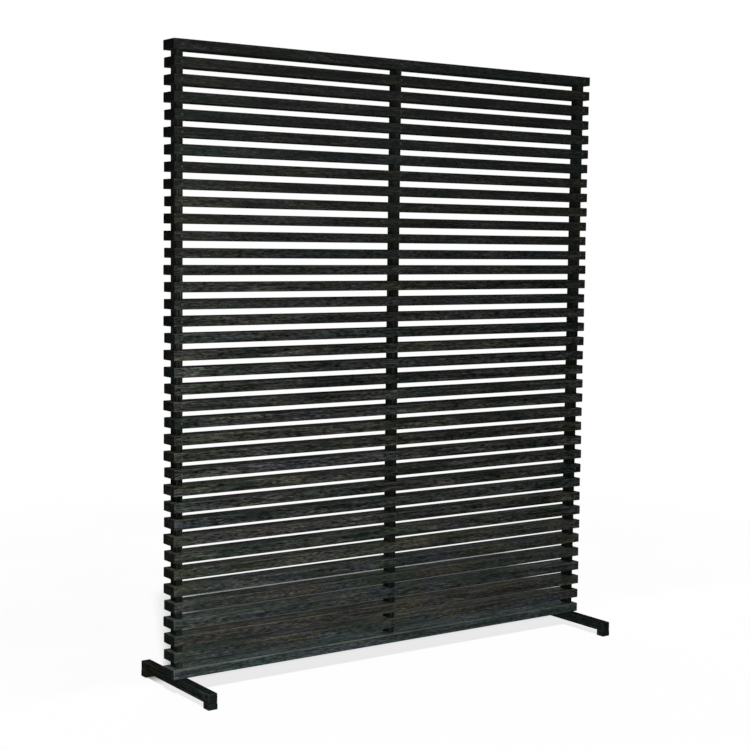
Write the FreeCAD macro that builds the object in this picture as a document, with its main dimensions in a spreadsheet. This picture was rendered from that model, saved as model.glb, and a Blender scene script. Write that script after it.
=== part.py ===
# Garden privacy screen: flat slats threaded on three posts, standing on two foot beams with pads.
# Millimetres. X runs along the slats, Y from front to back, Z up. The origin is on the ground,
# midway between the ends of the top slat and midway between the front and the back.

import FreeCAD, Part
import os
import Sketcher

SIZES = [
    ("slat_count", 38, "slats in the screen, one above another"),
    ("slat_length", 1500, "longest slat, end to end"),
    ("slat_depth", 64, "slat, front face to back face"),
    ("slat_height", 27.5, "slat, underside to top"),
    ("slat_gap", 19, "open gap between two slats"),
    ("slat_edge", 2, "rounding of every slat edge"),
    ("saw_error", 2.5, "most that a hand-sawn slat end falls short"),
    ("left_saw_turn", 137, "degrees from one left end to the next in the run of short cuts"),
    ("right_saw_turn", 83, "degrees from one right end to the next in the run of short cuts"),
    ("post_width", 18, "post, along the slats"),
    ("post_depth", 36, "post, front to back"),
    ("post_inset", 16, "end of the longest slat to the outer face of an outer post"),
    ("post_play", 0.1, "clearance round a post in its mortise"),
    ("foot_length", 400, "foot beam, front to back"),
    ("foot_width", 28, "foot beam and pad, along the slats"),
    ("foot_height", 28, "foot beam, underside to top"),
    ("foot_inset", 16, "end of the longest slat to the outer face of a foot beam"),
    ("foot_edge", 2, "rounding of every foot beam edge"),
    ("pad_length", 28, "foot pad, front to back"),
    ("pad_height", 17, "foot pad, ground to foot beam"),
    ("pad_edge", 2, "rounding of the edges round a pad's lower face"),
    ("screw_head", 7, "slat and pad screws, width of the head"),
    ("screw_shank", 3.5, "slat and pad screws, width of the shank"),
    ("slat_screw_length", 40, "slat screw, head to point"),
    ("pad_screw_length", 35, "pad screw, head to point"),
    ("foot_screw_head", 8, "foot screw, width of the head"),
    ("foot_screw_shank", 4, "foot screw, width of the shank"),
    ("foot_screw_length", 50, "foot screw, head to point"),
    ("foot_screw_spread", 40, "front foot screw to rear foot screw"),
    ("screw_point", 4, "length of every screw's point"),
    ("screw_sink", 0.3, "depth of a screw head below the wood round it"),
    ("screw_play", 0.1, "clearance round a screw in its hole"),
    ("mouth_reach", 1, "how far the cutter of a screw hole stands out of the wood"),
]

doc = FreeCAD.newDocument("garden_privacy_screen")
sheet = doc.addObject("Spreadsheet::Sheet", "Sizes")
for row, (alias, value, meaning) in enumerate(SIZES, start=1):
    sheet.set(f"A{row}", meaning)
    sheet.set(f"B{row}", str(value))
    sheet.setAlias(f"B{row}", alias)
doc.recompute()

# Lengths and places that follow from the sheet.
slat_pitch = "(Sizes.slat_height + Sizes.slat_gap)"
stack_height = f"((Sizes.slat_count - 1) * {slat_pitch} + Sizes.slat_height)"
foot_top = "(Sizes.pad_height + Sizes.foot_height)"
post_x = "(Sizes.slat_length / 2 - Sizes.post_inset - Sizes.post_width / 2)"
foot_x = "(Sizes.slat_length / 2 - Sizes.foot_inset - Sizes.foot_width / 2)"
pad_y = "((Sizes.foot_length - Sizes.pad_length) / 2)"
slat_screw_y = "(Sizes.screw_sink - Sizes.slat_depth / 2)"
slat_screw_z = "(Sizes.slat_height / 2)"
# Two screws of each foot stand in the strip of the beam that the post leaves free.
post_inner_inset = "(Sizes.post_inset + Sizes.post_width)"
foot_inner_inset = "(Sizes.foot_inset + Sizes.foot_width)"
foot_screw_x = f"((Sizes.slat_length - {post_inner_inset} - {foot_inner_inset}) / 2)"
foot_screw_y = "(-Sizes.foot_screw_spread / 2)"
# The third stands in the post, midway from the point of the lowest slat screw to the rear face.
slat_screw_point_y = f"({slat_screw_y} + Sizes.slat_screw_length)"
post_screw_y = f"(({slat_screw_point_y} + Sizes.post_depth / 2) / 2)"

# Head, shank and length of each kind of screw.
screw_kinds = {
    "slat": ("Sizes.screw_head", "Sizes.screw_shank", "Sizes.slat_screw_length"),
    "pad": ("Sizes.screw_head", "Sizes.screw_shank", "Sizes.pad_screw_length"),
    "foot": ("Sizes.foot_screw_head", "Sizes.foot_screw_shank", "Sizes.foot_screw_length"),
}

sides = {"left": -1, "right": 1}
ends = {"front": -1, "rear": 1}
post_places = {"left": f"-{post_x}", "middle": "0", "right": post_x}


def bind(thing, expressions):
    for name, expression in expressions.items():
        thing.setExpression(name, expression)


def place(body, x="0", y="0", z="0"):
    bind(body, {f"Placement.Base.{axis}": shift for axis, shift in zip("xyz", (x, y, z))})


def origin_feature(body, role):
    return next(item for item in body.Origin.OriginFeatures if item.Role == role)


def new_body(name):
    body = doc.addObject("PartDesign::Body", name)
    body.Label = name
    return body


def pin_corner(sketch, corner, kind, value, expression):
    """Hold one coordinate of an outline's corner to its expression."""
    origin, on_x_axis, on_y_axis = (-1, 1), -1, -2
    if expression == "0":
        axis = on_y_axis if kind == "DistanceX" else on_x_axis
        sketch.addConstraint(Sketcher.Constraint("PointOnObject", corner, 1, axis))
    elif value < 0:
        row = sketch.addConstraint(Sketcher.Constraint(kind, corner, 1, *origin, -value))
        sketch.setExpression(f"Constraints[{row}]", f"-({expression})")
    else:
        row = sketch.addConstraint(Sketcher.Constraint(kind, *origin, corner, 1, value))
        sketch.setExpression(f"Constraints[{row}]", expression)


def outline(body, name, plane, corners, offset=("0", "0", "0")):
    """Draw a closed outline of straight lines on one of the body's own planes."""
    sketch = body.newObject("Sketcher::SketchObject", name)
    sketch.AttachmentSupport = [(origin_feature(body, plane), "")]
    sketch.MapMode = "FlatFace"
    bind(sketch, {f"AttachmentOffset.Base.{axis}": shift for axis, shift in zip("xyz", offset)})
    values = [[float(body.evalExpression(length)) for length in corner] for corner in corners]
    points = [FreeCAD.Vector(*value) for value in values]
    next_corners = [*range(1, len(corners)), 0]
    for corner, following in enumerate(next_corners):
        sketch.addGeometry(Part.LineSegment(points[corner], points[following]), False)
    for corner, following in enumerate(next_corners):
        sketch.addConstraint(Sketcher.Constraint("Coincident", corner, 2, following, 1))
    for corner, (across, along) in enumerate(corners):
        pin_corner(sketch, corner, "DistanceX", values[corner][0], across)
        pin_corner(sketch, corner, "DistanceY", values[corner][1], along)
    return sketch


def rectangle(left, right, front, rear):
    return [(left, front), (right, front), (right, rear), (left, rear)]


def centred_rectangle(width, depth):
    return rectangle(f"-{width} / 2", f"{width} / 2", f"-{depth} / 2", f"{depth} / 2")


def block(body, name, corners, height):
    """Raise an outline from the body's base plane."""
    feature = body.newObject("PartDesign::Pad", name)
    feature.Profile = outline(body, f"{name}_outline", "XY_Plane", corners)
    feature.setExpression("Length", height)
    doc.recompute()
    return feature


def ease_edges(body, base, radius, edges=()):
    """Round the named edges of a feature, or all of them where none is named."""
    feature = body.newObject("PartDesign::Fillet", "eased_edges")
    feature.Base = (base, list(edges) or [""])
    feature.UseAllEdges = not edges
    feature.setExpression("Radius", radius)
    doc.recompute()


def turn(body, name, kind, corners, axis, x, y, z):
    """Revolve an outline about a line along axis from x, y, z, as a solid or as a cut."""
    if axis == "Y_Axis":
        plane, offset = "XY_Plane", (x, y, z)
    else:
        plane, offset = "XZ_Plane", (x, z, f"-({y})")
    sketch = outline(body, f"{name}_outline", plane, corners, offset)
    feature = body.newObject(kind, name)
    feature.Profile = sketch
    feature.ReferenceAxis = (sketch, ["V_Axis"])
    doc.recompute()
    return feature


def screw(body, name, kind, axis, x="0", y="0", z="0"):
    """A countersunk screw, from its head at x, y, z along axis."""
    head, shank, length = screw_kinds[kind]
    corners = [
        ("0", "0"),
        (f"{head} / 2", "0"),
        (f"{shank} / 2", f"({head} - {shank}) / 2"),
        (f"{shank} / 2", f"{length} - Sizes.screw_point"),
        ("0", length),
    ]
    return turn(body, name, "PartDesign::Revolution", corners, axis, x, y, z)


def screw_hole(body, name, kind, axis, x="0", y="0", z="0"):
    """The hole of the screw with its head at x, y, z, open at the head."""
    head, shank, length = screw_kinds[kind]
    mouth = "-(Sizes.screw_sink + Sizes.mouth_reach)"
    head_radius = f"({head} / 2 + Sizes.screw_play)"
    shank_radius = f"({shank} / 2 + Sizes.screw_play)"
    corners = [
        ("0", mouth),
        (head_radius, mouth),
        (head_radius, "Sizes.screw_play"),
        (shank_radius, f"({head} - {shank}) / 2 + Sizes.screw_play"),
        (shank_radius, f"{length} - Sizes.screw_point + Sizes.screw_play"),
        ("0", f"{length} + Sizes.screw_play"),
    ]
    return turn(body, name, "PartDesign::Groove", corners, axis, x, y, z)


def repeat(body, name, features, axis, spacing, count):
    """Repeat features along one of the body's own axes."""
    feature = body.newObject("PartDesign::LinearPattern", name)
    feature.Originals = features
    feature.Direction = (origin_feature(body, axis), [""])
    feature.Mode = "Spacing"
    bind(feature, {"Offset": spacing, "Occurrences": count})
    body.Tip = feature
    doc.recompute()


def make_slat(index, slat_count):
    """A slat, counted from the top: a mortise for each post and a screw hole before it."""
    body = new_body(f"slat_{index + 1:02d}")
    half_length = "Sizes.slat_length / 2"
    short_cut = "Sizes.saw_error * (1 - cos({} * Sizes.{}_saw_turn * 1 deg)) / 2"
    left = f"-{half_length} + {short_cut.format(index, 'left')}"
    right = f"{half_length} - {short_cut.format(index, 'right')}"
    corners = rectangle(left, right, "-Sizes.slat_depth / 2", "Sizes.slat_depth / 2")
    board = block(body, "board", corners, "Sizes.slat_height")
    ease_edges(body, board, "Sizes.slat_edge")
    half_width = "(Sizes.post_width / 2 + Sizes.post_play)"
    half_depth = "(Sizes.post_depth / 2 + Sizes.post_play)"
    first_post = post_places["left"]
    corners = rectangle(f"{first_post} - {half_width}", f"{first_post} + {half_width}",
                        f"-{half_depth}", half_depth)
    mortise = body.newObject("PartDesign::Pocket", "mortise")
    mortise.Profile = outline(body, "mortise_outline", "XY_Plane", corners)
    mortise.Type = "ThroughAll"
    mortise.Reversed = True
    doc.recompute()
    hole = screw_hole(body, "screw_hole", "slat", "Y_Axis",
                      first_post, slat_screw_y, slat_screw_z)
    repeat(body, "post_places", [mortise, hole], "X_Axis", post_x, str(len(post_places)))
    if index == slat_count - 1:
        drill_for_feet(body)
    place(body, z=f"{foot_top} + (Sizes.slat_count - {index + 1}) * {slat_pitch}")
    return body


def drill_for_feet(body):
    """The lowest slat takes two of the screws of each foot."""
    for side, sign in sides.items():
        hole = screw_hole(body, f"foot_screw_hole_{side}", "foot", "Z_Axis",
                          f"{sign} * {foot_screw_x}", foot_screw_y,
                          "Sizes.screw_sink - Sizes.foot_height")
        repeat(body, f"foot_screw_holes_{side}", [hole], "Y_Axis", "Sizes.foot_screw_spread", "2")


def make_post(place_name):
    """A post runs through every slat, and an outer one stands on its foot beam."""
    body = new_body(f"post_{place_name}")
    corners = centred_rectangle("Sizes.post_width", "Sizes.post_depth")
    block(body, "batten", corners, stack_height)
    hole = screw_hole(body, "screw_hole", "slat", "Y_Axis", "0", slat_screw_y, slat_screw_z)
    repeat(body, "slat_places", [hole], "Z_Axis", slat_pitch, "Sizes.slat_count")
    if place_name in sides:
        screw_hole(body, "foot_screw_hole", "foot", "Z_Axis",
                   "0", post_screw_y, "Sizes.screw_sink - Sizes.foot_height")
    place(body, x=post_places[place_name], z=foot_top)
    return body


def make_slat_screws(place_name):
    """The screws of one post, one through the front of each slat."""
    body = new_body(f"slat_screws_{place_name}")
    body.AllowCompound = True
    lowest = screw(body, "slat_screw", "slat", "Y_Axis")
    repeat(body, "slat_places", [lowest], "Z_Axis", slat_pitch, "Sizes.slat_count")
    place(body, post_places[place_name], slat_screw_y, f"{foot_top} + {slat_screw_z}")
    return body


def make_foot_beam(side):
    """A foot beam, with the holes of its three upright screws and of its pads' screws."""
    sign = sides[side]
    body = new_body(f"foot_beam_{side}")
    corners = centred_rectangle("Sizes.foot_width", "Sizes.foot_length")
    beam = block(body, "beam", corners, "Sizes.foot_height")
    ease_edges(body, beam, "Sizes.foot_edge")
    hole = screw_hole(body, "slat_hole", "foot", "Z_Axis",
                      f"{sign} * ({foot_screw_x} - {foot_x})", foot_screw_y, "Sizes.screw_sink")
    repeat(body, "slat_holes", [hole], "Y_Axis", "Sizes.foot_screw_spread", "2")
    screw_hole(body, "post_hole", "foot", "Z_Axis",
               f"{sign} * ({post_x} - {foot_x})", post_screw_y, "Sizes.screw_sink")
    hole = screw_hole(body, "pad_hole", "pad", "Z_Axis",
                      "0", f"-{pad_y}", "Sizes.screw_sink - Sizes.pad_height")
    repeat(body, "pad_holes", [hole], "Y_Axis", f"2 * {pad_y}", "2")
    place(body, x=f"{sign} * {foot_x}", z="Sizes.pad_height")
    return body


def make_foot_screws(side):
    """Two screws into the lowest slat and one into the post's lower end."""
    sign = sides[side]
    body = new_body(f"foot_screws_{side}")
    body.AllowCompound = True
    slat_side = screw(body, "slat_side_screw", "foot", "Z_Axis",
                      f"{sign} * ({foot_screw_x} - {post_x})", foot_screw_y)
    repeat(body, "slat_side_screws", [slat_side], "Y_Axis", "Sizes.foot_screw_spread", "2")
    screw(body, "post_screw", "foot", "Z_Axis", "0", post_screw_y)
    place(body, x=f"{sign} * {post_x}", z="Sizes.pad_height + Sizes.screw_sink")
    return body


def make_foot_pad(side, end):
    """A pad block under one end of a foot beam."""
    body = new_body(f"foot_pad_{side}_{end}")
    corners = centred_rectangle("Sizes.foot_width", "Sizes.pad_length")
    pad = block(body, "block", corners, "Sizes.pad_height")
    edges = enumerate(pad.Shape.Edges, start=1)
    lower_edges = [f"Edge{count}" for count, edge in edges if edge.CenterOfMass.z == 0]
    ease_edges(body, pad, "Sizes.pad_edge", lower_edges)
    screw_hole(body, "screw_hole", "pad", "Z_Axis", z="Sizes.screw_sink")
    place(body, x=f"{sides[side]} * {foot_x}", y=f"{ends[end]} * {pad_y}")
    return body


def make_pad_screws(side):
    """The two screws that hold the pads of one foot beam."""
    body = new_body(f"pad_screws_{side}")
    body.AllowCompound = True
    front = screw(body, "pad_screw", "pad", "Z_Axis", "0", f"-{pad_y}")
    repeat(body, "pad_screws", [front], "Y_Axis", f"2 * {pad_y}", "2")
    place(body, x=f"{sides[side]} * {foot_x}", z="Sizes.screw_sink")
    return body


def check(part):
    """Stop at a sub-part that failed or isn't a valid solid."""
    shape = part.Shape
    if shape.isNull() or not shape.isValid() or not shape.Solids:
        raise RuntimeError(f"{part.Label} has no valid shape")


count_of_slats = int(sheet.slat_count)
parts = [make_slat(index, count_of_slats) for index in range(count_of_slats)]
for post_name in post_places:
    parts += [make_post(post_name), make_slat_screws(post_name)]
for side_name in sides:
    parts += [make_foot_beam(side_name), make_foot_screws(side_name), make_pad_screws(side_name)]
    parts += [make_foot_pad(side_name, end_name) for end_name in ends]

doc.recompute()
failed = [item.Label for item in doc.Objects if {"Invalid", "Error"} & set(item.State)]
if failed:
    raise RuntimeError(f"these objects failed: {failed}")
for part in parts:
    check(part)

os.makedirs("parts", exist_ok=True)
for part in parts:
    part.Shape.exportStep(f"parts/{part.Label}.step")
print(f"{len(parts)} parts, {sum(len(part.Shape.Solids) for part in parts)} solids")
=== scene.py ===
import bpy
import bmesh
import math
from mathutils import Matrix, Vector


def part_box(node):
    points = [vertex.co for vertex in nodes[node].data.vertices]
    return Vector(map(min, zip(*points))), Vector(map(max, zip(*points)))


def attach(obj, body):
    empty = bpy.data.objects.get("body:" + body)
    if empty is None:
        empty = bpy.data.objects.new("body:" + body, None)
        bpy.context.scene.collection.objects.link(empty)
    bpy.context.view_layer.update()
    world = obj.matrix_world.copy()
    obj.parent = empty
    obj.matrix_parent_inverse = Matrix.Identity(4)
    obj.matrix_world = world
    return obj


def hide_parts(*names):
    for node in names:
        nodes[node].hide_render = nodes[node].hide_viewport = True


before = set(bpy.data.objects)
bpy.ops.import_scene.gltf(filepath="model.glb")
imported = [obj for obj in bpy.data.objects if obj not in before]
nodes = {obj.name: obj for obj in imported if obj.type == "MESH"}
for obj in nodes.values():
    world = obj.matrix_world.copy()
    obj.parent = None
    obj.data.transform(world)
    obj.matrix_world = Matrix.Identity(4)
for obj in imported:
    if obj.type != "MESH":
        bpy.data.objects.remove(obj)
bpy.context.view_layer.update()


# camera, standing in front and to the left of the screen
cameraPlace = {
    "position": (-2.680, -3.729, 1.259),  # metres, in the screen's own frame
    "turn": 35.08,         # degrees from +Y towards +X
    "dip": 4.99,           # degrees below the horizon
    "roll": -0.68,         # degrees, clockwise
    "focalShare": 2.0410,  # focal length in frame widths
    "sensor": 36.0,        # millimetres
}


def addCamera(place):
    turn, dip, roll = (math.radians(place[name]) for name in ("turn", "dip", "roll"))
    ahead = Vector((math.sin(turn), math.cos(turn), 0))
    level = Vector((math.cos(turn), -math.sin(turn), 0))
    forward = math.cos(dip) * ahead - math.sin(dip) * Vector((0, 0, 1))
    down = forward.cross(level)
    right = math.cos(roll) * level + math.sin(roll) * down
    up = math.sin(roll) * level - math.cos(roll) * down
    data = bpy.data.cameras.new("photoCamera")
    data.sensor_width = place["sensor"]
    data.lens = place["sensor"] * place["focalShare"]
    camera = bpy.data.objects.new("photoCamera", data)
    turned = Matrix((right, up, -forward)).transposed().to_4x4()
    camera.matrix_world = Matrix.Translation(place["position"]) @ turned
    bpy.context.scene.collection.objects.link(camera)
    bpy.context.scene.camera = camera


addCamera(cameraPlace)
print("camera placed")


# short ways to wire shader nodes
class Wiring:
    def __init__(self, tree):
        self.tree = tree
        tree.nodes.clear()

    def put(self, kind, inputs=None, **settings):
        node = self.tree.nodes.new(kind)
        for name, value in settings.items():
            setattr(node, name, value)
        for socket, value in (inputs or {}).items():
            self.feed(node.inputs[socket], value)
        return node

    def feed(self, socket, value):
        if isinstance(value, bpy.types.NodeSocket):
            self.tree.links.new(value, socket)
        else:
            socket.default_value = value

    def calc(self, operation, *values, clamp=False):
        inputs = dict(enumerate(values))
        return self.put("ShaderNodeMath", inputs, operation=operation, use_clamp=clamp).outputs[0]

    def product(self, first, *others):
        for other in others:
            first = self.calc("MULTIPLY", first, other)
        return first

    def vector(self, operation, *values):
        inputs = dict(enumerate(values))
        return self.put("ShaderNodeVectorMath", inputs, operation=operation).outputs[0]

    def split(self, value):
        return self.put("ShaderNodeSeparateXYZ", {0: value}).outputs

    def join(self, x, y, z):
        return self.put("ShaderNodeCombineXYZ", {0: x, 1: y, 2: z}).outputs[0]

    def noise(self, place, scale, detail=3.0, roughness=0.5):
        inputs = {"Vector": place, "Scale": scale, "Detail": detail, "Roughness": roughness}
        return self.put("ShaderNodeTexNoise", inputs)

    def spread(self, value, span, start, end):
        # from start to end, softly, as the value crosses the span
        low, high = span
        inputs = {"Value": value, "From Min": low, "From Max": high, "To Min": start, "To Max": end}
        return self.put("ShaderNodeMapRange", inputs, interpolation_type="SMOOTHSTEP").outputs["Result"]

    def toned(self, value, tone):
        # 1 where the value is 0, and the tone where it is 1
        return self.calc("MULTIPLY_ADD", value, tone - 1, 1.0)

    def mix(self, share, first, second):
        node = self.put("ShaderNodeMix", data_type="RGBA")
        for socket, value in ((0, share), (6, first), (7, second)):
            self.feed(node.inputs[socket], value)
        return node.outputs[2]

    def grey(self, value):
        return self.join(value, value, value)

    def ramp(self, value, stops):
        node = self.put("ShaderNodeValToRGB", {0: value})
        points = node.color_ramp.elements
        while len(points) < len(stops):
            points.new(1.0)
        for point, (where, colour) in zip(points, stops):
            point.position = where
            point.color = (*colour, 1.0)
        return node.outputs["Color"]


def newMaterial(name):
    material = bpy.data.materials.new(name)
    material.use_nodes = True
    return material, Wiring(material.node_tree)


def dress(nodeNames, material):
    for nodeName in nodeNames:
        slots = nodes[nodeName].data.materials
        slots.clear()
        slots.append(material)


def halfSize(nodeName):
    low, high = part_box(nodeName)
    return (high - low) / 2


def middle(nodeName):
    low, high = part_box(nodeName)
    return (high + low) / 2


# black-stained wood, weathered, with pale edges that are partly wear and partly painted highlight, and
# with painted light and shade by height and facing
class StainedWood:
    def __init__(self, name, look):
        self.look = look
        self.material, self.wire = newMaterial(name)
        self.findBoard()
        self.streaks = self.cloud("streaks")
        self.fibres = self.cloud("fibres")
        self.blotches = self.cloud("blotches")
        self.pores = self.wire.spread(self.cloud("pores"), look["poreSpan"], 0.0, 1.0)
        self.lateWood = self.yearRings()
        self.splash = self.wire.spread(self.height, look["splashSpan"], 0.0, 1.0)
        colour = self.wire.vector("MULTIPLY", self.tint(), self.wire.grey(self.light()))
        self.finish(self.wearAndHighlightEdges(colour))

    def findBoard(self):
        # one cell for each board: its number gives the board its own colour and grain
        wire, look = self.wire, self.look
        place = wire.put("ShaderNodeTexCoord").outputs
        spot = place["Object"]
        cell = Vector(look["cell"])
        fromCorner = wire.vector("SUBTRACT", spot, look["boardCentre"] - cell / 2)
        cellCount = wire.vector("FLOOR", wire.vector("DIVIDE", fromCorner, cell))
        boardMiddle = wire.vector("ADD", wire.vector("MULTIPLY", cellCount, cell), look["boardCentre"])
        self.local = wire.vector("SUBTRACT", spot, boardMiddle)
        seed = wire.vector("ADD", cellCount, look["draw"])
        draw = wire.put("ShaderNodeTexWhiteNoise", {"Vector": seed}, noise_dimensions="3D")
        self.chances = wire.split(draw.outputs["Color"])

        # the grain runs along the first of the grain axes
        axes = wire.split(self.local)
        along, self.across, self.up = (axes[axis] for axis in look["grainAxes"])
        drawn = {0: draw.outputs["Color"], "Scale": look["grainShift"]}
        shift = wire.put("ShaderNodeVectorMath", drawn, operation="SCALE").outputs[0]
        self.grainPlace = wire.vector("ADD", wire.join(along, self.across, self.up), shift)
        grainAxis = look["grainAxes"][0]
        self.lengthwise, self.height = wire.split(spot)[grainAxis], wire.split(spot)[2]
        facings = wire.split(place["Normal"])
        self.topFacing = facings[2]
        self.endFace = wire.spread(wire.calc("ABSOLUTE", facings[grainAxis]), look["endFacing"], 0.0, 1.0)

    def cloud(self, kind, output="Fac"):
        alongScale, acrossScale, detail, roughness = self.look["clouds"][kind]
        place = self.wire.vector("MULTIPLY", self.grainPlace, (alongScale, acrossScale, acrossScale))
        return self.wire.noise(place, 1.0, detail, roughness).outputs[output]

    def yearRings(self):
        # rings round a pith that lies off the board
        wire, look = self.wire, self.look
        bend = wire.split(self.cloud("bends", "Color"))
        reach, offset = look["pithReach"], look["pithOffset"]
        pithAcross = wire.calc("MULTIPLY_ADD", self.chances[0], reach, -reach / 2)
        pithUp = wire.calc("MULTIPLY_ADD", self.chances[1], reach, offset)
        fromPith = wire.calc("SUBTRACT", self.across, pithAcross), wire.calc("SUBTRACT", self.up, pithUp)
        ringAcross = wire.calc("MULTIPLY_ADD", bend[0], look["wander"], fromPith[0])
        ringUp = wire.calc("MULTIPLY_ADD", bend[1], look["wander"], fromPith[1])
        square = wire.calc("ADD", wire.product(ringAcross, ringAcross), wire.product(ringUp, ringUp))
        phase = wire.calc("FRACT", wire.calc("DIVIDE", wire.calc("SQRT", square), look["ringWidth"]))
        return wire.product(wire.spread(phase, look["ringDarkens"], 0.0, 1.0),
                            wire.spread(phase, look["ringEnds"], 1.0, 0.0))

    def tint(self):
        wire, look = self.wire, self.look
        tint = wire.ramp(self.chances[2], look["tints"])

        # green growth, in patches and where a slat crosses a post
        lean = wire.calc("MULTIPLY_ADD", self.lengthwise, look["growthLean"], self.cloud("patches"))
        fromMiddle = wire.calc("ABSOLUTE", self.lengthwise)
        fromOuter = wire.calc("ABSOLUTE", wire.calc("SUBTRACT", fromMiddle, look["outerPost"]))
        fromPost = wire.calc("MINIMUM", fromMiddle, fromOuter)
        lean = wire.calc("ADD", lean, wire.spread(fromPost, look["postSpan"], look["postGrowth"], 0.0))
        growth = wire.spread(lean, look["growthSpan"], 0.0, look["growth"])
        tint = wire.mix(growth, tint, wire.ramp(self.chances[0], look["growthTints"]))

        # splashed wood near the ground, then colour casts, stronger towards the foot
        tint = wire.mix(wire.product(self.splash, look["splash"]), tint, (*look["splashColour"], 1.0))
        lively = wire.spread(self.height, look["livelySpan"], 1.0, look["lively"])
        for cloud, casts, amount in ((self.blotches, look["wideCasts"], look["blotch"]),
                                     (self.cloud("casts"), look["fineCasts"], look["fleck"])):
            cast = wire.vector("MULTIPLY", tint, wire.ramp(cloud, casts))
            tint = wire.mix(wire.product(lively, amount), tint, cast)
        return tint

    def light(self):
        wire, look = self.wire, self.look
        light = wire.product(wire.toned(self.lateWood, 1 - look["ring"]),
                             wire.toned(self.pores, 1 - look["pore"]))
        for cloud, amount in ((self.streaks, look["streak"]), (self.fibres, look["fibre"]),
                              (self.cloud("fuzz"), look["fuzz"]), (self.blotches, look["mottle"])):
            light = wire.product(light, wire.spread(cloud, look["cloudSpan"], 1 - amount, 1 + amount))
        shownBelow = wire.spread(self.height, look["grainTopSpan"], look["grainTop"], 1.0)
        shownAbove = wire.spread(self.height, look["grainFootSpan"], look["grainFoot"], 1.0)
        shown = wire.calc("MINIMUM", shownBelow, shownAbove)
        light = wire.calc("MULTIPLY_ADD", wire.calc("SUBTRACT", light, 1.0), shown, 1.0)
        # paler towards the foot: painted light
        return wire.product(light, wire.spread(self.height, look["paintedFootLightSpan"], 1.0, look["paintedFootLight"]),
                            # darker end faces: end grain takes more stain, and painted shade
                            wire.toned(self.endFace, look["endStainAndShade"]),
                            # paler upward faces: painted light
                            wire.spread(self.topFacing, look["topFacing"], 1.0, look["paintedTopLight"]))

    def wearAndHighlightEdges(self, colour):
        # the middle one of the gaps to the three pairs of faces is the gap to the nearest edge
        wire, look = self.wire, self.look
        gaps = wire.split(wire.vector("SUBTRACT", look["boardHalf"], wire.vector("ABSOLUTE", self.local)))
        least = wire.calc("MINIMUM", gaps[0], gaps[1])
        most = wire.calc("MAXIMUM", gaps[0], gaps[1])
        edgeGap = wire.calc("MAXIMUM", least, wire.calc("MINIMUM", most, gaps[2]))
        width = wire.calc("MULTIPLY_ADD", self.splash, look["splashWidth"], look["wearAndHighlightWidth"])
        wornAndHighlitEdge = wire.calc("SUBTRACT", 1.0, wire.calc("DIVIDE", edgeGap, width), clamp=True)

        # broken up along the board, strongest on upper edges, weak on the end faces; the pale edges are
        # partly wear and partly painted highlight
        broken = wire.calc("MAXIMUM", wire.spread(self.cloud("ragged"), look["raggedSpan"], 0.0, 1.0),
                           wire.product(self.splash, look["splashKept"]))
        halfHeight = look["boardHalf"].z
        raised = wire.spread(wire.split(self.local)[2], (-halfHeight, halfHeight), look["lowerEdge"], 1.0)
        wornAndHighlitEdge = wire.product(wornAndHighlitEdge, broken, raised, wire.toned(self.endFace, look["endEdge"]))
        # more towards the foot: wear and painted edge highlight
        wearAndHighlight = wire.spread(self.height, look["wearAndHighlightSpan"], look["wearAndHighlight"], look["lowWearAndHighlight"])
        spared = wire.spread(self.chances[1], (0.0, 1.0), look["leastWornAndHighlit"], 1.0)
        wearAndHighlight = wire.product(wearAndHighlight, wire.calc("MAXIMUM", spared, self.splash))
        wornAndHighlightTint = wire.ramp(self.cloud("wornAndHighlight"), look["wornAndHighlightTints"])
        splashed = wire.product(self.splash, look["splashWearAndHighlight"])
        wornAndHighlightTint = wire.mix(splashed, wornAndHighlightTint, (*look["splashWornAndHighlight"], 1.0))
        return wire.mix(wire.product(wornAndHighlitEdge, wearAndHighlight), colour, wornAndHighlightTint)

    def finish(self, colour):
        wire, look = self.wire, self.look
        uneven = look["roughnessSpread"]
        sheen = wire.calc("MULTIPLY_ADD", self.streaks, uneven, look["roughness"] - uneven / 2)
        sheen = wire.calc("MULTIPLY_ADD", self.endFace, look["endRoughness"], sheen)
        relief = wire.product(self.pores, -look["poreRelief"])
        relief = wire.calc("MULTIPLY_ADD", self.fibres, look["fibreRelief"], relief)
        relief = wire.calc("MULTIPLY_ADD", self.lateWood, look["ringRelief"], relief)
        bump = wire.put("ShaderNodeBump", {
            "Strength": look["bump"], "Distance": look["bumpDepth"], "Height": relief,
        })
        shader = wire.put("ShaderNodeBsdfPrincipled", {
            "Base Color": colour, "Roughness": sheen, "Normal": bump.outputs[0],
            "Specular IOR Level": look["gloss"],
        })
        wire.put("ShaderNodeOutputMaterial", {"Surface": shader.outputs[0]})


slatNames = sorted(name for name in nodes if name.startswith("slat_") and "screws" not in name)
topSlat, lowestSlat = slatNames[0], slatNames[-1]
slatPitch = (middle(topSlat).z - middle(lowestSlat).z) / (len(slatNames) - 1)
wide = 10.0  # a cell far wider than the screen holds one board only

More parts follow.
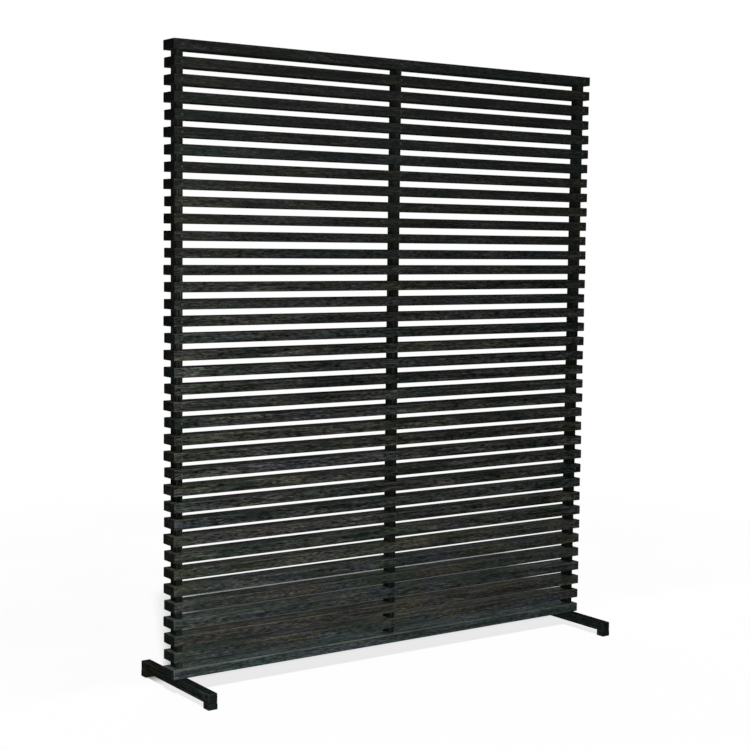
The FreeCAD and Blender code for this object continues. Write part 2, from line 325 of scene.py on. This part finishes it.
# a span is where a change starts and ends: heights and distances in metres, or values of a cloud
slatLook = {
    "cell": (wide, wide, slatPitch),
    "boardCentre": Vector((0.0, 0.0, middle(lowestSlat).z)),
    "boardHalf": halfSize(topSlat),
    "draw": (3.0, 1.0, 4.0),   # other numbers give the boards other colours and grain
    "grainAxes": (0, 1, 2),    # along, across and up
    "grainShift": 40.0,        # a board's grain is moved by up to this many metres
    "endFacing": (0.55, 0.9),  # spans of the normal's share along the grain, and upwards
    "topFacing": (0.5, 0.9),
    "clouds": {  # scale along the grain and across it, detail, roughness
        "bends": (1.4, 7.0, 2.0, 0.5),
        "streaks": (4.0, 130.0, 3.0, 0.55),
        "fibres": (26.0, 380.0, 4.0, 0.6),
        "pores": (60.0, 1500.0, 1.0, 0.5),
        "fuzz": (55.0, 300.0, 2.0, 0.7),
        "blotches": (5.0, 26.0, 2.0, 0.5),
        "patches": (3.2, 14.0, 3.0, 0.6),
        "casts": (7.0, 60.0, 3.0, 0.6),
        "ragged": (6.0, 30.0, 4.0, 0.65),
        "wornAndHighlight": (2.6, 9.0, 2.0, 0.6),
    },
    "pithReach": 0.14,
    "pithOffset": 0.03,
    "wander": 0.03,
    "ringWidth": 0.0042,
    "ringDarkens": (0.35, 0.85),  # shares of a ring
    "ringEnds": (0.9, 1.0),
    "poreSpan": (0.62, 0.72),

    # colours
    "tints": [(0.0, (0.0094, 0.0109, 0.0108)), (0.25, (0.0107, 0.0104, 0.0110)),
              (0.5, (0.0104, 0.0108, 0.0096)), (0.75, (0.0101, 0.0105, 0.0102)),
              (1.0, (0.0110, 0.0104, 0.0096))],
    "wideCasts": [(0.32, (0.60, 0.98, 1.00)), (0.42, (0.82, 1.00, 0.88)), (0.50, (0.90, 0.90, 0.90)),
                  (0.58, (0.86, 0.82, 1.00)), (0.68, (1.00, 0.90, 0.62))],
    "fineCasts": [(0.34, (0.74, 0.94, 1.00)), (0.44, (0.92, 0.88, 0.98)), (0.52, (0.90, 0.96, 0.84)),
                  (0.62, (1.00, 0.96, 0.70)), (0.70, (1.00, 0.78, 0.56))],
    "blotch": 0.32,
    "fleck": 0.32,
    "lively": 1.8,
    "livelySpan": (1.2, 0.4),
    "growth": 0.6,
    "growthSpan": (0.5, 0.64),
    "growthTints": [(0.2, (0.0096, 0.0128, 0.0118)), (0.5, (0.0110, 0.0128, 0.0104)),
                    (0.8, (0.0130, 0.0132, 0.0098))],
    "growthLean": 0.0,        # more growth towards the far end of the board, per metre
    "postGrowth": 0.12,       # more growth where a slat crosses a post
    "postSpan": (0.03, 0.14),
    "outerPost": middle("post_right").x,
    "splash": 0.75,
    "splashSpan": (0.13, 0.06),
    "splashColour": (0.0120, 0.0156, 0.0170),

    # light and dark
    "cloudSpan": (0.25, 0.75),
    "streak": 0.55,
    "fibre": 0.6,
    "fuzz": 1.0,
    "mottle": 0.35,
    "ring": 0.25,
    "pore": 0.35,
    "grainTop": 0.55,         # share of the grain that shows at the top
    "grainTopSpan": (1.7, 0.8),
    "grainFoot": 0.75,        # and at the foot
    "grainFootSpan": (0.15, 0.5),
    "paintedFootLight": 1.85,             # paler towards the foot: painted light
    "paintedFootLightSpan": (1.35, 0.1),
    # end faces darker: end grain takes more stain, and painted shade
    "endStainAndShade": 0.4,
    # upward faces paler: painted light
    "paintedTopLight": 3.0,

    # worn edges, partly painted highlight
    "wearAndHighlight": 0.4,
    "lowWearAndHighlight": 1.0,
    "wearAndHighlightSpan": (0.75, 0.1),
    "leastWornAndHighlit": 0.35,
    "wearAndHighlightWidth": 0.0032,
    "raggedSpan": (0.38, 0.58),
    "lowerEdge": 0.15,
    "endEdge": 0.3,
    "wornAndHighlightTints": [(0.38, (0.050, 0.038, 0.027)), (0.46, (0.044, 0.044, 0.026)),
                  (0.53, (0.062, 0.064, 0.050)), (0.61, (0.046, 0.053, 0.055))],
    "splashKept": 0.6,
    "splashWearAndHighlight": 0.9,
    "splashWornAndHighlight": (0.100, 0.102, 0.080),
    "splashWidth": 0.0018,

    # surface
    "roughness": 0.85,
    "roughnessSpread": 0.24,
    "endRoughness": 0.12,
    "gloss": 0.0,             # with a gloss the undersides mirror the white surroundings
    "ringRelief": 0.5,
    "fibreRelief": 0.8,
    "poreRelief": 0.6,
    "bump": 0.6,
    "bumpDepth": 0.0006,
}
dress(slatNames, StainedWood("slatWood", slatLook).material)

postNames = ["post_left", "post_middle", "post_right"]
postLook = {
    **slatLook,
    "cell": (middle("post_right").x, wide, wide),
    "boardCentre": Vector((0.0, 0.0, middle("post_middle").z)),
    "boardHalf": halfSize("post_middle"),
    "draw": (7.0, 2.0, 5.0),
    "grainAxes": (2, 0, 1),
    # darker than the slats and darker towards the foot: the posts' own stain and painted shade from the
    # slats in front
    "tints": [(0.0, (0.0060, 0.0072, 0.0060)), (1.0, (0.0066, 0.0070, 0.0058))],
    "paintedFootLight": 0.6,
    "growth": 0.5,
    "growthTints": [(0.0, (0.014, 0.018, 0.014)), (1.0, (0.009, 0.010, 0.008))],
    "growthLean": 0.06,
    "postGrowth": 0.0,
    "endStainAndShade": 0.8,
    "paintedTopLight": 1.0,
}
dress(postNames, StainedWood("postWood", postLook).material)

beamLook = {
    **slatLook,
    "cell": (2 * middle("foot_beam_right").x, wide, wide),
    "boardCentre": middle("foot_beam_right"),
    "boardHalf": halfSize("foot_beam_right"),
    "draw": (1.0, 8.0, 2.0),
    "grainAxes": (1, 0, 2),
    "tints": [(0.0, (0.0078, 0.0104, 0.0100)), (1.0, (0.0082, 0.0104, 0.0098))],
    # no painted light by height here; end faces darker from end grain and painted shade, upward faces a
    # little paler from painted light
    "paintedFootLight": 1.0,
    "endStainAndShade": 0.7,
    "growth": 0.9,
    "growthTints": [(0.0, (0.0120, 0.0116, 0.0082)), (1.0, (0.0116, 0.0114, 0.0086))],
    "growthLean": 1.8,
    "postGrowth": 0.0,
    "splash": 0.0,
    "splashWearAndHighlight": 0.0,
    "splashWidth": 0.0,
    "lively": 1.0,
    "lowWearAndHighlight": 0.25,
    "paintedTopLight": 1.3,
}
dress(["foot_beam_left", "foot_beam_right"], StainedWood("footWood", beamLook).material)

padNames = [f"foot_pad_{side}_{end}" for side in ("left", "right") for end in ("front", "rear")]
padCentre = middle("foot_pad_right_rear")
padLook = {
    **beamLook,
    "cell": (2 * padCentre.x, 2 * padCentre.y, wide),
    "boardCentre": padCentre,
    "boardHalf": halfSize("foot_pad_right_rear"),
    "draw": (9.0, 3.0, 6.0),
}
dress(padNames, StainedWood("padWood", padLook).material)
print("wood stained")


# countersunk screws with a cross recess
screwLook = {
    "sides": 12,
    "shankShare": 0.5,     # of the head's width
    "pointLength": 0.004,
    "recessReach": 0.31,   # this and the next two are shares of the head's width
    "recessHalf": 0.075,
    "recessDepth": 0.22,
    "recessTaper": 0.55,   # width of the recess floor, as a share of its mouth
    "spinSeed": 11,
    "mergeDistance": 1e-5,
}


def screwMesh(headWidth, length, look):
    mesh = bmesh.new()
    sides = look["sides"]
    reach, half = (headWidth * look[name] for name in ("recessReach", "recessHalf"))
    headHeight = headWidth * (1 - look["shankShare"]) / 2

    def ring(width, z):
        turns = [2 * math.pi * (side + 0.5) / sides for side in range(sides)]
        reached = width / 2
        return [mesh.verts.new((reached * math.cos(turn), reached * math.sin(turn), z)) for turn in turns]

    def cross(scale, z):
        arm = [(reach, half), (half, half), (half, reach)]
        corners = []
        for quarter in range(4):
            spin = Matrix.Rotation(quarter * math.pi / 2, 2)
            corners += [spin @ Vector(corner) for corner in arm]
        return [mesh.verts.new((scale * x, scale * y, z)) for x, y in corners]

    def band(outer, inner):
        for side in range(sides):
            following = (side + 1) % sides
            mesh.faces.new((outer[side], outer[following], inner[following], inner[side]))

    rim = ring(headWidth, 0.0)
    recessMouth = cross(1.0, 0.0)
    recessFloor = cross(look["recessTaper"], headWidth * look["recessDepth"])
    neck = ring(headWidth * look["shankShare"], headHeight)
    shoulder = ring(headWidth * look["shankShare"], length - look["pointLength"])
    band(rim, recessMouth)
    band(recessMouth, recessFloor)
    mesh.faces.new(recessFloor)
    band(neck, rim)
    band(shoulder, neck)
    tip = mesh.verts.new((0.0, 0.0, length))
    for side in range(sides):
        mesh.faces.new((shoulder[side], tip, shoulder[(side + 1) % sides]))
    bmesh.ops.recalc_face_normals(mesh, faces=mesh.faces)
    data = bpy.data.meshes.new("screwShape")
    mesh.to_mesh(data)
    mesh.free()
    return data


def screwSeats(nodeName, axis):
    # head centre, head width and length of each screw of a CAD node
    merged = bmesh.new()
    merged.from_mesh(nodes[nodeName].data)
    bmesh.ops.remove_doubles(merged, verts=merged.verts, dist=screwLook["mergeDistance"])
    waiting = set(merged.verts)
    seats = []
    while waiting:
        reached = [waiting.pop()]
        for vertex in reached:
            near = {edge.other_vert(vertex) for edge in vertex.link_edges} & waiting
            waiting -= near
            reached += near
        low = Vector([min(vertex.co[other] for vertex in reached) for other in range(3)])
        high = Vector([max(vertex.co[other] for vertex in reached) for other in range(3)])
        seat = (low + high) / 2
        seat[axis] = low[axis]
        seats.append((seat, (high - low)[0], (high - low)[axis]))
    merged.free()
    return sorted(seats, key=lambda found: tuple(found[0]))


def addSocket(tree, name, kind, direction="INPUT"):
    return tree.interface.new_socket(name=name, in_out=direction, socket_type=kind)


def screwTree():
    tree = bpy.data.node_groups.new("screwsOnSeats", "GeometryNodeTree")
    addSocket(tree, "Geometry", "NodeSocketGeometry", "OUTPUT")
    addSocket(tree, "Seats", "NodeSocketGeometry")
    addSocket(tree, "Screw", "NodeSocketObject")
    addSocket(tree, "Direction", "NodeSocketVector")
    addSocket(tree, "Spin Seed", "NodeSocketInt")
    addSocket(tree, "Metal", "NodeSocketMaterial")
    nodeOf = tree.nodes.new
    start, end = nodeOf("NodeGroupInput"), nodeOf("NodeGroupOutput")
    shape = nodeOf("GeometryNodeObjectInfo")
    aim = nodeOf("FunctionNodeEulerToRotation")
    place = nodeOf("GeometryNodeInstanceOnPoints")
    chance = nodeOf("FunctionNodeRandomValue")
    chance.data_type = "FLOAT"
    chance.inputs["Max"].default_value = 2 * math.pi
    about = nodeOf("ShaderNodeCombineXYZ")
    spin = nodeOf("GeometryNodeRotateInstances")
    real = nodeOf("GeometryNodeRealizeInstances")
    finish = nodeOf("GeometryNodeSetMaterial")
    for source, target in (
        (start.outputs["Screw"], shape.inputs["Object"]),
        (start.outputs["Direction"], aim.inputs[0]),
        (start.outputs["Seats"], place.inputs["Points"]),
        (shape.outputs["Geometry"], place.inputs["Instance"]),
        (aim.outputs[0], place.inputs["Rotation"]),
        (start.outputs["Spin Seed"], chance.inputs["Seed"]),
        (chance.outputs[1], about.inputs["Z"]),
        (place.outputs[0], spin.inputs["Instances"]),
        (about.outputs[0], spin.inputs["Rotation"]),
        (spin.outputs[0], real.inputs[0]),
        (real.outputs[0], finish.inputs["Geometry"]),
        (start.outputs["Metal"], finish.inputs["Material"]),
        (finish.outputs[0], end.inputs[0]),
    ):
        tree.links.new(source, target)
    return tree


def plainMesh(piece):
    evaluated = piece.evaluated_get(bpy.context.evaluated_depsgraph_get())
    mesh = bpy.data.meshes.new_from_object(evaluated)
    piece.modifiers.clear()
    piece.data = mesh


# dull zinc with rusty spots
metalLook = {
    "dark": (0.022, 0.023, 0.022, 1.0),
    "pale": (0.060, 0.062, 0.059, 1.0),
    "cloud": (900.0, 3.0, 0.6),      # scale, detail and roughness
    "cloudSpan": (0.3, 0.7),
    "rust": (0.032, 0.021, 0.014, 1.0),
    "rustCloud": (260.0, 2.0, 0.5),
    "rustSpan": (0.55, 0.7),
    "rustShare": 0.7,
    "roughness": (0.35, 0.6),
    "roughnessSpan": (0.2, 0.8),
    "bump": 0.3,
    "bumpDepth": 0.0002,
}


def screwMetal(look):
    material, wire = newMaterial("screwZinc")
    spot = wire.put("ShaderNodeTexCoord").outputs["Object"]
    cloud = wire.noise(spot, *look["cloud"]).outputs["Fac"]
    spots = wire.noise(spot, *look["rustCloud"]).outputs["Fac"]
    colour = wire.mix(wire.spread(cloud, look["cloudSpan"], 0.0, 1.0), look["dark"], look["pale"])
    colour = wire.mix(wire.spread(spots, look["rustSpan"], 0.0, look["rustShare"]), colour, look["rust"])
    bump = wire.put("ShaderNodeBump", {
        "Strength": look["bump"], "Distance": look["bumpDepth"], "Height": cloud,
    })
    shader = wire.put("ShaderNodeBsdfPrincipled", {
        "Base Color": colour, "Roughness": wire.spread(cloud, look["roughnessSpan"], *look["roughness"]),
        "Normal": bump.outputs[0], "Metallic": 1.0,
    })
    wire.put("ShaderNodeOutputMaterial", {"Surface": shader.outputs[0]})
    return material


def addScrews(pieceName, nodeName, axis, tree, metal, seed):
    seats = screwSeats(nodeName, axis)
    headWidth, length = seats[0][1:]
    shape = bpy.data.objects.new("screwShape", screwMesh(headWidth, length, screwLook))
    bpy.context.scene.collection.objects.link(shape)
    points = bpy.data.meshes.new(pieceName)
    points.from_pydata([seat for seat, _, _ in seats], [], [])
    piece = bpy.data.objects.new(pieceName, points)
    bpy.context.scene.collection.objects.link(piece)
    modifier = piece.modifiers.new("screws", "NODES")
    modifier.node_group = tree
    sockets = {item.name: item.identifier for item in tree.interface.items_tree}
    modifier[sockets["Screw"]] = shape
    modifier[sockets["Direction"]] = (-math.pi / 2, 0.0, 0.0) if axis == alongY else (0.0, 0.0, 0.0)
    modifier[sockets["Spin Seed"]] = seed
    modifier[sockets["Metal"]] = metal
    plainMesh(piece)
    bpy.data.objects.remove(shape)
    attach(piece, "root")
    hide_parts(nodeName)


alongY, alongZ = 1, 2
screwGroups = [(f"slatScrews{side.title()}", f"slat_screws_{side}", alongY)
               for side in ("left", "middle", "right")]
for side in ("left", "right"):
    screwGroups.append((f"footScrews{side.title()}", f"foot_screws_{side}", alongZ))
    screwGroups.append((f"padScrews{side.title()}", f"pad_screws_{side}", alongZ))
screwsOnSeats = screwTree()
zinc = screwMetal(metalLook)
for number, (pieceName, nodeName, axis) in enumerate(screwGroups):
    addScrews(pieceName, nodeName, axis, screwsOnSeats, zinc, screwLook["spinSeed"] + number)
print("screws set")


# pale floor, white surroundings and soft lights
studio = {
    "floorHalf": 30.0,
    "floorDrop": 0.0005,
    "floorColour": (0.98, 0.98, 0.98),
    "floorMottle": 0.985,
    "mottleScale": 1.5,
    "mottleSpan": (0.3, 0.7),
    "floorWhite": 0.8,          # share of plain white in the floor's look in front of the screen
    "whiteSpan": (0.08, 0.22),  # where that share ends, in metres behind the middle of the screen
    "farSpan": (2.4, 3.5),      # where all the floor turns plain white, in metres from the middle
    "world": 0.12,
    "keyTurn": 30.0,           # degrees, over the camera, so the screen hides its own shadow
    "keyRise": 56.0,
    "keySpread": 6.0,
    "keyStrength": 3.4,
    "lights": [  # name, place, width, height and watts
        ("frontLight", (-2.40, -3.40, 1.20), 1.2, 0.8, 170.0),
        ("sideLight", (-0.95, -0.75, 0.68), 0.4, 1.6, 15.0),
        ("backLight", (2.40, 2.80, 0.90), 1.8, 1.8, 260.0),
    ],
    "aim": (-0.3, 0.0, 0.7),
}


def whenShown(wire):
    # 1 where the camera sees the surface, straight, in a mirror or through glass
    path = wire.put("ShaderNodeLightPath").outputs
    seen = wire.calc("MAXIMUM", path["Is Camera Ray"], path["Is Glossy Ray"])
    return wire.calc("MAXIMUM", seen, path["Is Transmission Ray"])


def paleFloor(look):
    material, wire = newMaterial("paleFloor")
    spot = wire.put("ShaderNodeTexCoord").outputs["Object"]
    away = wire.put("ShaderNodeVectorMath", {0: spot}, operation="LENGTH").outputs["Value"]
    cloud = wire.noise(spot, look["mottleScale"]).outputs["Fac"]
    mottle = wire.grey(wire.spread(cloud, look["mottleSpan"], look["floorMottle"], 1.0))
    colour = wire.vector("MULTIPLY", look["floorColour"], mottle)
    matt = wire.put("ShaderNodeBsdfDiffuse", {"Color": colour})
    white = wire.put("ShaderNodeEmission", {"Strength": 1.0})
    near = wire.spread(wire.split(spot)[1], look["whiteSpan"], look["floorWhite"], 0.0)
    plain = wire.calc("MAXIMUM", near, wire.spread(away, look["farSpan"], 0.0, 1.0))
    share = wire.product(whenShown(wire), plain)
    both = wire.put("ShaderNodeMixShader", {0: share, 1: matt.outputs[0], 2: white.outputs[0]})
    wire.put("ShaderNodeOutputMaterial", {"Surface": both.outputs[0]})
    return material


def addFloor(look):
    reach, drop = look["floorHalf"], look["floorDrop"]
    mesh = bpy.data.meshes.new("floor")
    corners = [(x * reach, y * reach, -drop) for x, y in ((-1, -1), (1, -1), (1, 1), (-1, 1))]
    mesh.from_pydata(corners, [], [(0, 1, 2, 3)])
    mesh.materials.append(paleFloor(look))
    floor = bpy.data.objects.new("floor", mesh)
    bpy.context.scene.collection.objects.link(floor)
    return floor


def lightWorld(look):
    world = bpy.data.worlds.new("whiteRoom")
    bpy.context.scene.world = world
    world.use_nodes = True
    wire = Wiring(world.node_tree)
    strength = wire.calc("MULTIPLY_ADD", whenShown(wire), 1.0 - look["world"], look["world"])
    background = wire.put("ShaderNodeBackground", {"Color": (1.0, 1.0, 1.0, 1.0), "Strength": strength})
    wire.put("ShaderNodeOutputWorld", {"Surface": background.outputs[0]})


def addKey(look, floor):
    sun = bpy.data.lights.new("keyLight", "SUN")
    sun.energy = look["keyStrength"]
    sun.angle = math.radians(look["keySpread"])
    key = bpy.data.objects.new("keyLight", sun)
    key.rotation_euler = (math.radians(90 - look["keyRise"]), 0.0, math.radians(-look["keyTurn"]))
    lit = bpy.data.collections.new("litFloor")  # the sun only throws the shadow on the floor
    lit.objects.link(floor)
    key.light_linking.receiver_collection = lit
    bpy.context.scene.collection.objects.link(key)


def addLamps(look, floor):
    unlit = bpy.data.collections.new("unlitFloor")  # the lamps light the screen and leave out the floor
    unlit.objects.link(floor)
    unlit.collection_objects[0].light_linking.link_state = "EXCLUDE"
    for name, place, width, tall, power in look["lights"]:
        data = bpy.data.lights.new(name, "AREA")
        data.shape = "RECTANGLE"
        data.size, data.size_y = width, tall
        data.energy = power
        lamp = bpy.data.objects.new(name, data)
        lamp.location = place
        lamp.visible_camera = False
        lamp.light_linking.receiver_collection = unlit
        away = Vector(look["aim"]) - Vector(place)
        lamp.rotation_euler = away.to_track_quat("-Z", "Y").to_euler()
        bpy.context.scene.collection.objects.link(lamp)


floor = addFloor(studio)
lightWorld(studio)
addKey(studio, floor)
addLamps(studio, floor)
bpy.context.scene.view_settings.view_transform = "Standard"
print("studio lit")
